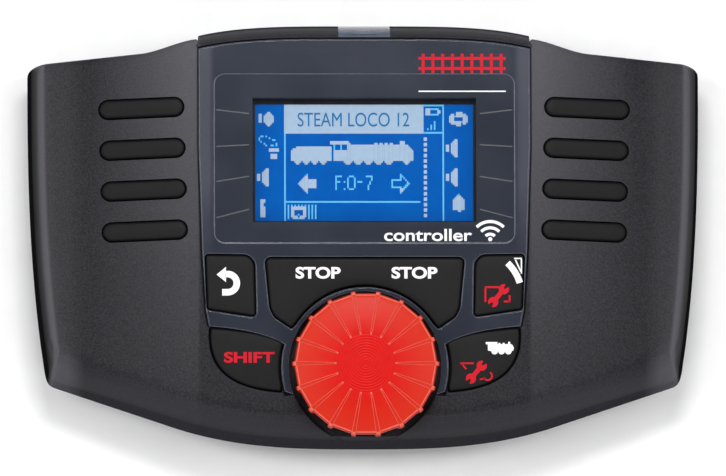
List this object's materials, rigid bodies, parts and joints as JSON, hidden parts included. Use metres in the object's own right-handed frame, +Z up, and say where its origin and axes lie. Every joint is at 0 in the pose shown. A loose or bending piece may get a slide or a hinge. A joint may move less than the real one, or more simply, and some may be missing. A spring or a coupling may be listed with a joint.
{
  "type": "train set controller",
  "caption": "Handheld wireless controller for model trains with a ribbed speed knob, a blue display and push keys.",
  "frame": {"origin": "middle of the flat bottom face, with the controller lying on its back", "axes": "+X to the right across the controller, +Y from the control knob up to the display, +Z up out of the face"},
  "size_m": [0.159, 0.1002, 0.04],
  "materials": {
    "charcoal_plastic": "fine-grained matte",
    "smoked_clear_plastic": "clear, smoked, polished",
    "panel_plastic": "satin",
    "black_key_plastic": "fine-grained matte",
    "red_plastic": "satin gloss",
    "steel": "plated",
    "black_component": "moulded",
    "circuit_board": "solder-mask",
    "amber_film": "film",
    "grey_silicone": "matt",
    "display_glass": "glossy",
    "light_guide": "frosted",
    "cell_jacket": "printed jacket"
  },
  "bodies": {
    "housing": {"front_shell": "charcoal_plastic", "back_shell": "charcoal_plastic", "clear_cover": "smoked_clear_plastic", "display_panel": "panel_plastic", "display_frame": "steel", "display_glass": "display_glass", "display_backlight": "light_guide", "display_ribbon": "amber_film", "main_board": "circuit_board", "key_board_left": "circuit_board", "key_board_right": "circuit_board", "key_mat_left": "grey_silicone", "key_mat_right": "grey_silicone", "key_mat_middle": "grey_silicone", "ribbon_left": "amber_film", "ribbon_right": "amber_film", "encoder_body": "steel", "radio_module": "steel", "radio_antenna": "amber_film", "processor": "black_component", "card_reader": "black_component", "case_screw_1": "steel", "case_screw_2": "steel", "case_screw_3": "steel", "case_screw_4": "steel", "case_screw_5": "steel", "case_screw_6": "steel", "battery_spring_1": "steel", "battery_spring_2": "steel", "battery_spring_3": "steel", "battery_spring_4": "steel", "battery_contact_1": "steel", "battery_contact_2": "steel", "battery_contact_3": "steel", "battery_contact_4": "steel", "battery_cell_1": "cell_jacket", "battery_cell_2": "cell_jacket", "battery_cell_3": "cell_jacket", "battery_cell_4": "cell_jacket"},
    "function_key_left_1": {"function_key_left_1": "black_key_plastic"},
    "function_key_left_2": {"function_key_left_2": "black_key_plastic"},
    "function_key_left_3": {"function_key_left_3": "black_key_plastic"},
    "function_key_left_4": {"function_key_left_4": "black_key_plastic"},
    "function_key_right_1": {"function_key_right_1": "black_key_plastic"},
    "function_key_right_2": {"function_key_right_2": "black_key_plastic"},
    "function_key_right_3": {"function_key_right_3": "black_key_plastic"},
    "function_key_right_4": {"function_key_right_4": "black_key_plastic"},
    "stop_key": {"stop_key": "black_key_plastic"},
    "back_key": {"back_key": "black_key_plastic"},
    "turnout_key": {"turnout_key": "black_key_plastic"},
    "shift_key": {"shift_key": "black_key_plastic"},
    "loco_key": {"loco_key": "black_key_plastic"},
    "encoder_plunger": {"encoder_plunger": "black_component"},
    "control_knob": {"control_knob": "red_plastic", "encoder_rotor": "black_component", "encoder_shaft": "steel"},
    "battery_door": {"battery_door": "charcoal_plastic"}
  },
  "joints": [
    {"name": "function_key_left_1_press", "type": "slide", "parent": "housing", "child": "function_key_left_1", "axis": [0, 0, -1], "range_m": [0, 0.0008], "stiffness_N_per_m": 1200, "springref_m": -0.0006},
    {"name": "function_key_left_2_press", "type": "slide", "parent": "housing", "child": "function_key_left_2", "axis": [0, 0, -1], "range_m": [0, 0.0008], "stiffness_N_per_m": 1200, "springref_m": -0.0006},
    {"name": "function_key_left_3_press", "type": "slide", "parent": "housing", "child": "function_key_left_3", "axis": [0, 0, -1], "range_m": [0, 0.0008], "stiffness_N_per_m": 1200, "springref_m": -0.0006},
    {"name": "function_key_left_4_press", "type": "slide", "parent": "housing", "child": "function_key_left_4", "axis": [0, 0, -1], "range_m": [0, 0.0008], "stiffness_N_per_m": 1200, "springref_m": -0.0006},
    {"name": "function_key_right_1_press", "type": "slide", "parent": "housing", "child": "function_key_right_1", "axis": [0, 0, -1], "range_m": [0, 0.0008], "stiffness_N_per_m": 1200, "springref_m": -0.0006},
    {"name": "function_key_right_2_press", "type": "slide", "parent": "housing", "child": "function_key_right_2", "axis": [0, 0, -1], "range_m": [0, 0.0008], "stiffness_N_per_m": 1200, "springref_m": -0.0006},
    {"name": "function_key_right_3_press", "type": "slide", "parent": "housing", "child": "function_key_right_3", "axis": [0, 0, -1], "range_m": [0, 0.0008], "stiffness_N_per_m": 1200, "springref_m": -0.0006},
    {"name": "function_key_right_4_press", "type": "slide", "parent": "housing", "child": "function_key_right_4", "axis": [0, 0, -1], "range_m": [0, 0.0008], "stiffness_N_per_m": 1200, "springref_m": -0.0006},
    {"name": "stop_key_press", "type": "slide", "parent": "housing", "child": "stop_key", "axis": [0, 0, -1], "range_m": [0, 0.0008], "stiffness_N_per_m": 1200, "springref_m": -0.0006},
    {"name": "back_key_press", "type": "slide", "parent": "housing", "child": "back_key", "axis": [0, 0, -1], "range_m": [0, 0.0008], "stiffness_N_per_m": 1200, "springref_m": -0.0006},
    {"name": "turnout_key_press", "type": "slide", "parent": "housing", "child": "turnout_key", "axis": [0, 0, -1], "range_m": [0, 0.0008], "stiffness_N_per_m": 1200, "springref_m": -0.0006},
    {"name": "shift_key_press", "type": "slide", "parent": "housing", "child": "shift_key", "axis": [0, 0, -1], "range_m": [0, 0.0008], "stiffness_N_per_m": 1200, "springref_m": -0.0006},
    {"name": "loco_key_press", "type": "slide", "parent": "housing", "child": "loco_key", "axis": [0, 0, -1], "range_m": [0, 0.0008], "stiffness_N_per_m": 1200, "springref_m": -0.0006},
    {"name": "knob_press", "type": "slide", "parent": "housing", "child": "encoder_plunger", "axis": [0, 0, -1], "range_m": [0, 0.0006], "stiffness_N_per_m": 3000, "springref_m": -0.001},
    {"name": "knob_spin", "type": "hinge", "parent": "encoder_plunger", "child": "control_knob", "pos_m": [0, -0.0322, 0.03], "axis": [0, 0, 1], "continuous": true},
    {"name": "battery_door_slide", "type": "slide", "parent": "housing", "child": "battery_door", "axis": [0, -1, 0], "range_m": [0, 0.012]}
  ]
}
